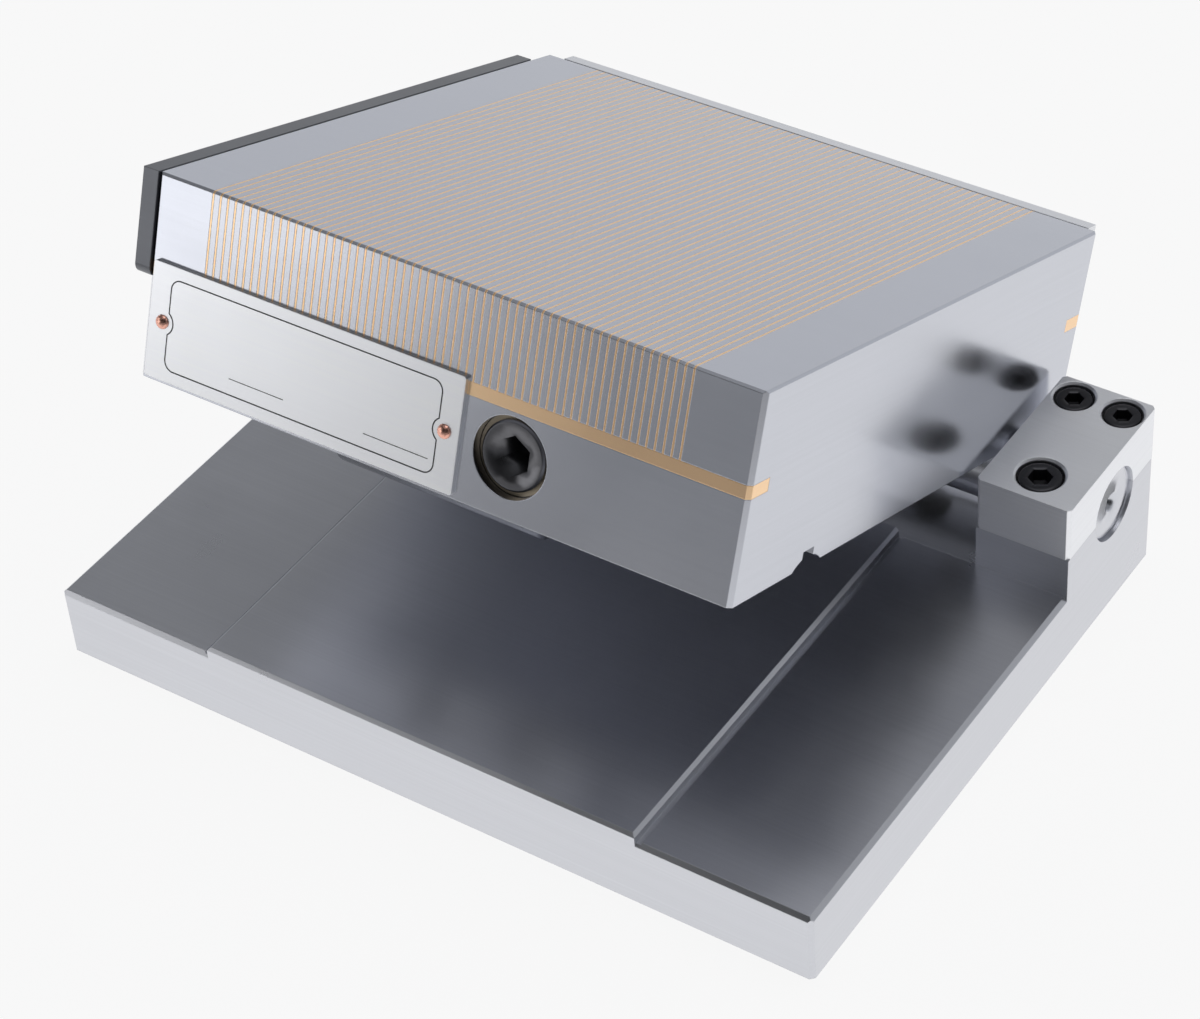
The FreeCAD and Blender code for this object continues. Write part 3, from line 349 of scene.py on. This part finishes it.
# ---------------------------------------------------------------- pole plate
# Working face: steel laminations and thin brass spacers, pressed together
# with a brass bar along the front and rear, then ground as one.
pole_steel = ground_metal("ground_steel_poles", (0.60, 0.615, 0.67), 0.22, lines=0.06, bump=0.012,
                          turn=TILT)
finish("steel_poles", pole_steel)
brass = ground_metal("ground_brass", (1.0, 0.69, 0.42), 0.24, lines=0.06, bump=0.012, turn=TILT)
for name in ("brass_spacers", "front_brass_bar", "rear_brass_bar"):
    finish(name, brass)

# ---------------------------------------------------------------- magnet pack
# Sintered magnets between soft iron bars on an aluminium carriage, which
# runs on brass strips; the cam shifts it by half a pitch under the poles.
finish("slide_strips", brass)
finish("magnet_carriage", ground_metal("milled_aluminium", (0.78, 0.79, 0.81), 0.34, turn=TILT))
finish("magnets", ground_metal("sintered_magnet", (0.10, 0.10, 0.11), 0.5, turn=TILT))
finish("flux_bars", pole_steel)

# ---------------------------------------------------------------- cam shaft
# Turned and black oxidised shaft with a hexagon socket in its head and an
# eccentric pin behind; a pointed screw from below keeps it in.
cam_black = ground_metal("black_oxide_cam", (0.15, 0.15, 0.16), 0.30, uneven=0.3, metallic=0.9)
polished("cam_shaft_turned", "cam_shaft", "cam", cam_black)
finish("stop_screw", black_screw)

# ---------------------------------------------------------------- cam washer
# Thin washer of bronze, stamped from sheet, that lies loose in the stepped
# hole behind the cam's head.
HINGE_Y, HINGE_Z = 56.8 * MM, 29.6 * MM
CAM_X, CAM_Z, FRONT_FACE = 20.1 * MM, 20.3 * MM, -130.6 * MM
WASHER_BORE, WASHER_RIM, WASHER_DEPTH, WASHER_THICKNESS = 6.6 * MM, 8.9 * MM, 2.55 * MM, 0.4 * MM


def on_chuck(points):
    """Row frame places of points given from the hinge axis along the tilted chuck.

    The chuck leans by the tilt about X: y runs back and down, z forward and up.
    """
    x, y, z = np.moveaxis(np.asarray(points, float), -1, 0)
    return np.stack([x, HINGE_Y + y * cos(TILT) + z * sin(TILT),
                     HINGE_Z - y * sin(TILT) + z * cos(TILT)], -1)


def flat_ring(inner, outer, depth, thickness):
    """Rings of a flat washer: inner and outer circle on its front and on its back."""
    angle = 2 * pi * np.arange(72) / 72
    stack = [(inner, depth), (outer, depth), (outer, depth + thickness), (inner, depth + thickness)]
    return np.stack([np.stack([CAM_X + radius * np.cos(angle), np.full(72, FRONT_FACE + y),
                               CAM_Z + radius * np.sin(angle)], -1) for radius, y in stack])


rings = on_chuck(flat_ring(WASHER_BORE, WASHER_RIM, WASHER_DEPTH, WASHER_THICKNESS))
bronze = ground_metal("dull_bronze", (0.42, 0.36, 0.27), 0.45, turn=TILT)
washer = surface("cam_washer", rings, grid_faces(*rings.shape[:2], ring=True), bronze)
placed("cam_washer", washer, "chuck")

# ---------------------------------------------------------------- stops
# Two flat stops that slide up past the working face on their slots: the
# side one is given a dark colour, the rear one is bright ground.
finish("side_stop", ground_metal("dark_stop_steel", (0.16, 0.165, 0.18), 0.34, lines=0.1, bump=0.03,
                                 turn=TILT, metallic=0.9))
finish("rear_stop", ground_metal("ground_steel_stop", (0.76, 0.77, 0.80), 0.28, lines=0.12,
                                 bump=0.04, turn=TILT))
finish("side_stop_screws", black_screw)
finish("rear_stop_screws", black_screw)

# ---------------------------------------------------------------- nameplate
# Bare aluminium plate, stamped from sheet and satin finished; two copper
# drive rivets hold it.
finish("nameplate", ground_metal("satin_aluminium", (0.96, 0.97, 1.0), 0.34, lines=0.06, bump=0.03,
                                 turn=TILT))

# ---------------------------------------------------------------- printed lines
# Black ink on the plate: a border that steps round the rivets at both ends,
# and two plain rules.
PLATE_LEFT, PLATE_LENGTH, PLATE_LOW, PLATE_HEIGHT = -73.2 * MM, 81.2 * MM, 7.8 * MM, 26.4 * MM
PLATE_FACE = -131.6 * MM
PLATE_RIGHT, RIVET_INSET = PLATE_LEFT + PLATE_LENGTH, 3.6 * MM
RIVET_X = (PLATE_LEFT + RIVET_INSET, PLATE_RIGHT - RIVET_INSET)
RIVET_Z = PLATE_LOW + PLATE_HEIGHT / 2


def unit(vectors):
    """The same directions with length 1."""
    return vectors / np.linalg.norm(vectors, axis=1, keepdims=True)


def outward(mesh):
    """Turns the faces of a closed mesh so that they point outwards."""
    shell = bmesh.new()
    shell.from_mesh(mesh)
    bmesh.ops.recalc_face_normals(shell, faces=shell.faces)
    shell.to_mesh(mesh)
    shell.free()
    return mesh


def printed_line(name, points, width, closed, material):
    """Ink of one width along a path of (x, z) points on the plate's face.

    Each point is moved to both sides, square to the path, by half the
    width, and raised by the ink's thickness from the plate.
    """
    thickness = 0.03 * MM
    points = np.asarray(points, float)
    ahead = np.roll(points, -1, 0) - points
    if not closed:
        ahead[-1] = ahead[-2]
    behind = np.roll(ahead, 1, 0)
    if not closed:
        behind[0] = ahead[0]
    along = unit(unit(ahead) + unit(behind))
    square = np.stack([-along[:, 1], along[:, 0]], -1) * width / 2
    count = len(points)
    loops = np.stack([np.stack([(points + side * square)[:, 0], np.full(count, PLATE_FACE - lift),
                                (points + side * square)[:, 1]], -1)
                      for side, lift in ((1, 0.0), (1, thickness), (-1, thickness), (-1, 0.0))], 1)
    faces = grid_faces(count, 4, ring=closed)
    if not closed:
        last = 4 * (count - 1)
        faces += [[3, 2, 1, 0], [last, last + 1, last + 2, last + 3]]
    mesh = outward(surface(name, on_chuck(loops), faces, material))
    placed(name, mesh, "chuck")


def arc(x, z, radius, start, end):
    """Ten points of an arc about (x, z), from a start angle to an end angle in degrees."""
    angle = np.radians(np.linspace(start, end, 10))
    return np.stack([x + radius * np.cos(angle), z + radius * np.sin(angle)], -1)


ink_black = bpy.data.materials.new("printed_ink")
ink_black.use_nodes = True
ink = ink_black.node_tree.nodes["Principled BSDF"]
ink.inputs["Base Color"].default_value = (0.03, 0.03, 0.035, 1)
ink.inputs["Roughness"].default_value = 0.45

SIDE_MARGIN, EDGE_MARGIN, CORNER, NOTCH = 5.2 * MM, 2.8 * MM, 2.4 * MM, 2.9 * MM
left, right = PLATE_LEFT + SIDE_MARGIN, PLATE_RIGHT - SIDE_MARGIN
low, high = PLATE_LOW + EDGE_MARGIN, PLATE_LOW + PLATE_HEIGHT - EDGE_MARGIN
dip = np.degrees(np.arcsin((left - RIVET_X[0]) / NOTCH))
border = np.vstack([
    arc(left + CORNER, low + CORNER, CORNER, 270, 180),
    arc(RIVET_X[0], RIVET_Z, NOTCH, -90 + dip, 90 - dip),
    arc(left + CORNER, high - CORNER, CORNER, 180, 90),
    arc(right - CORNER, high - CORNER, CORNER, 90, 0),
    arc(RIVET_X[1], RIVET_Z, NOTCH, 90 + dip, 270 - dip),
    arc(right - CORNER, low + CORNER, CORNER, 0, -90)])
BORDER_WIDTH, RULE_WIDTH = 0.3 * MM, 0.18 * MM
printed_line("plate_border", border, BORDER_WIDTH, True, ink_black)
RULES = ((22.5 * MM, 37.0 * MM, 6.4 * MM), (58.0 * MM, 74.5 * MM, 6.0 * MM))
for number, (start, end, height) in enumerate(RULES, start=1):
    rule = [(PLATE_LEFT + x, PLATE_LOW + height) for x in (start, (start + end) / 2, end)]
    printed_line(f"plate_rule_{number}", rule, RULE_WIDTH, False, ink_black)

# ---------------------------------------------------------------- rivets
# Copper drive rivets: a shank in the housing and a domed head, left with
# flats by the hammer.
HEAD_RADIUS, DOME, CROWN, SHANK_RADIUS, SHANK_DEPTH = (
    1.65 * MM, 1.05 * MM, 1.1 * MM, 0.95 * MM, 4.0 * MM)
copper = ground_metal("drawn_copper", (0.86, 0.46, 0.36), 0.24, lines=0.05, bump=0.02, turn=TILT)


def rivet_rings(x, z):
    """Rings from the crown of a dome at (x, z) on the plate to the end of its shank.

    The head's radius follows a quarter of a circle and each ring is turned
    by half a step, so that its faces are hammered flats.
    """
    around = 14
    stack = [(HEAD_RADIUS * sin(step), DOME * cos(step)) for step in (0.35, 0.75, 1.15, pi / 2)]
    stack += [(0.98 * HEAD_RADIUS, 0.0), (SHANK_RADIUS, 0.0), (SHANK_RADIUS, -SHANK_DEPTH)]
    rings = np.zeros((len(stack), around, 3))
    for row, (radius, out) in enumerate(stack):
        angle = 2 * pi * (np.arange(around) + 0.5 * (row % 2)) / around
        rings[row] = np.stack([x + radius * np.cos(angle), np.full(around, PLATE_FACE - out),
                               z + radius * np.sin(angle)], -1)
    return rings


parts = [closed_skin("rivet", on_chuck(rivet_rings(x, RIVET_Z)),
                     on_chuck((x, PLATE_FACE - CROWN, RIVET_Z)),
                     on_chuck((x, PLATE_FACE + SHANK_DEPTH, RIVET_Z)), copper) for x in RIVET_X]
heads = outward(merged("rivet_heads", parts, copper))
heads.shade_flat()
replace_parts(placed("rivet_heads", heads, "chuck"), "nameplate_rivets")

# ---------------------------------------------------------------- floor
# Pale paper floor, which keeps the shadow. It shows near white to the lens
# and in metal and glass, and its glow fades to grey in front of the object,
# which is painted shade.
FLOOR_RADIUS, FLOOR_HEIGHT, FLOOR_CORNERS = 0.9, -0.0002, 96
FADE_START, FADE_END, FADE_LEVEL, SHOWN = -0.20, -0.42, 0.34, 0.9
ring = np.linspace(0, 2 * pi, FLOOR_CORNERS, endpoint=False)
disc = np.stack([FLOOR_RADIUS * np.cos(ring), FLOOR_RADIUS * np.sin(ring),
                 np.full(FLOOR_CORNERS, FLOOR_HEIGHT)], -1)
paper = bpy.data.materials.new("white_paper")
paper.use_nodes = True
tree = paper.node_tree
shader = tree.nodes["Principled BSDF"]
shader.inputs["Base Color"].default_value = (0.86, 0.86, 0.87, 1)
shader.inputs["Roughness"].default_value = 0.9
spot = node(tree, "ShaderNodeTexCoord")
across = node(tree, "ShaderNodeSeparateXYZ")
link(tree, spot.outputs["Object"], across.inputs[0])
# painted shade: the floor's glow dims from white to grey in front of the object
fade = node(tree, "ShaderNodeMapRange", interpolation_type="SMOOTHSTEP", From_Min=FADE_START,
            From_Max=FADE_END, To_Min=1.0, To_Max=FADE_LEVEL)
link(tree, across.outputs["Y"], fade.inputs["Value"])
glow = node(tree, "ShaderNodeEmission", Strength=1.0)
link(tree, fade.outputs[0], glow.inputs["Color"])
paths = node(tree, "ShaderNodeLightPath")
seen = maths(tree, "MAXIMUM", paths.outputs["Is Camera Ray"], paths.outputs["Is Glossy Ray"])
seen = maths(tree, "MAXIMUM", seen, paths.outputs["Is Transmission Ray"])
mixed = node(tree, "ShaderNodeMixShader")
link(tree, maths(tree, "MULTIPLY", seen, SHOWN), mixed.inputs[0])
link(tree, shader.outputs[0], mixed.inputs[1])
link(tree, glow.outputs[0], mixed.inputs[2])
link(tree, mixed.outputs[0], tree.nodes["Material Output"].inputs["Surface"])
floor = bpy.data.objects.new("studio_floor", surface("studio_floor", disc,
                                                     [list(range(FLOOR_CORNERS))], paper))
bpy.context.scene.collection.objects.link(floor)

# ---------------------------------------------------------------- room
# Soft light from all round, in levels of grey from the floor's direction up
# to the zenith: paler behind the object, darker in front of it.
BEHIND = ((0.0, 0.66), (0.2, 0.56), (0.45, 0.36), (0.62, 0.22), (0.8, 0.24), (0.92, 0.4),
          (1.0, 0.5))
IN_FRONT = ((0.0, 0.30), (0.1, 0.22), (0.25, 0.05), (0.7, 0.03), (0.85, 0.10), (0.92, 0.3),
            (1.0, 0.5))
RED, BLUE = 0.98, 1.04  # against green, for a slightly cool grey
world = bpy.data.worlds.new("soft_studio")
bpy.context.scene.world = world
world.use_nodes = True
tree = world.node_tree
direction = node(tree, "ShaderNodeTexCoord")
parts = node(tree, "ShaderNodeSeparateXYZ")
link(tree, direction.outputs["Generated"], parts.inputs[0])
side = node(tree, "ShaderNodeMapRange", interpolation_type="SMOOTHSTEP", From_Min=0.15,
            From_Max=-0.35)
link(tree, parts.outputs["Y"], side.inputs["Value"])
room = node(tree, "ShaderNodeMix", data_type="RGBA")
link(tree, side.outputs[0], room.inputs["Factor"])
FIRST_COLOUR, SECOND_COLOUR, MIXED_COLOUR = 6, 7, 2  # sockets of a Mix node for colours
for levels, socket in ((BEHIND, FIRST_COLOUR), (IN_FRONT, SECOND_COLOUR)):
    rise = node(tree, "ShaderNodeValToRGB")
    while len(rise.color_ramp.elements) < len(levels):
        rise.color_ramp.elements.new(0.5)
    for element, (position, level) in zip(rise.color_ramp.elements, levels):
        element.position, element.color = position, (level * RED, level, level * BLUE, 1)
    link(tree, parts.outputs["Z"], rise.inputs[0])
    link(tree, rise.outputs[0], room.inputs[socket])
back = tree.nodes["Background"]
link(tree, room.outputs[MIXED_COLOUR], back.inputs["Color"])
back.inputs["Strength"].default_value = 1.0

# ---------------------------------------------------------------- lamps
# A large soft lamp above and behind, and a panel at the front left, which
# the ground faces mirror.


def soft_lamp(name, place, aim, width, height, power):
    """Rectangular lamp that faces its aim."""
    lamp = bpy.data.lights.new(name, "AREA")
    lamp.shape, lamp.size, lamp.size_y, lamp.energy = "RECTANGLE", width, height, power
    holder = bpy.data.objects.new(name, lamp)
    bpy.context.scene.collection.objects.link(holder)
    holder.location = place
    holder.rotation_euler = (Vector(aim) - Vector(place)).to_track_quat("-Z", "Y").to_euler()
    holder.visible_camera = False


soft_lamp("overhead_light", place=(0.1, 0.3, 1.4), aim=(0, 0, 0), width=0.9, height=0.9, power=4.0)
soft_lamp("front_left_panel", place=(-0.60, -0.58, 0.22), aim=(0, -0.05, 0.08), width=0.5,
          height=0.45, power=0.85)

# ---------------------------------------------------------------- camera
# A long lens from the front at the right, looking down on the chuck, with
# a slight roll.
TARGET, DISTANCE = Vector((0.0057, -0.0093, 0.0378)), 0.7735
AZIMUTH, ELEVATION, ROLL = radians(36.57), radians(41.275), radians(-4.68)
FOCAL_LENGTH, SENSOR_WIDTH = 103.89, 36.0
away = Vector((sin(AZIMUTH) * cos(ELEVATION), -cos(AZIMUTH) * cos(ELEVATION), sin(ELEVATION)))
lens = bpy.data.cameras.new("studio_camera")
lens.lens, lens.sensor_width = FOCAL_LENGTH, SENSOR_WIDTH
camera = bpy.data.objects.new("studio_camera", lens)
bpy.context.scene.collection.objects.link(camera)
camera.matrix_world = (Matrix.Translation(TARGET + DISTANCE * away)
                       @ (-away).to_track_quat("-Z", "Y").to_matrix().to_4x4()
                       @ Matrix.Rotation(ROLL, 4, "Z"))
bpy.context.scene.camera = camera
bpy.context.scene.view_settings.view_transform = "Standard"
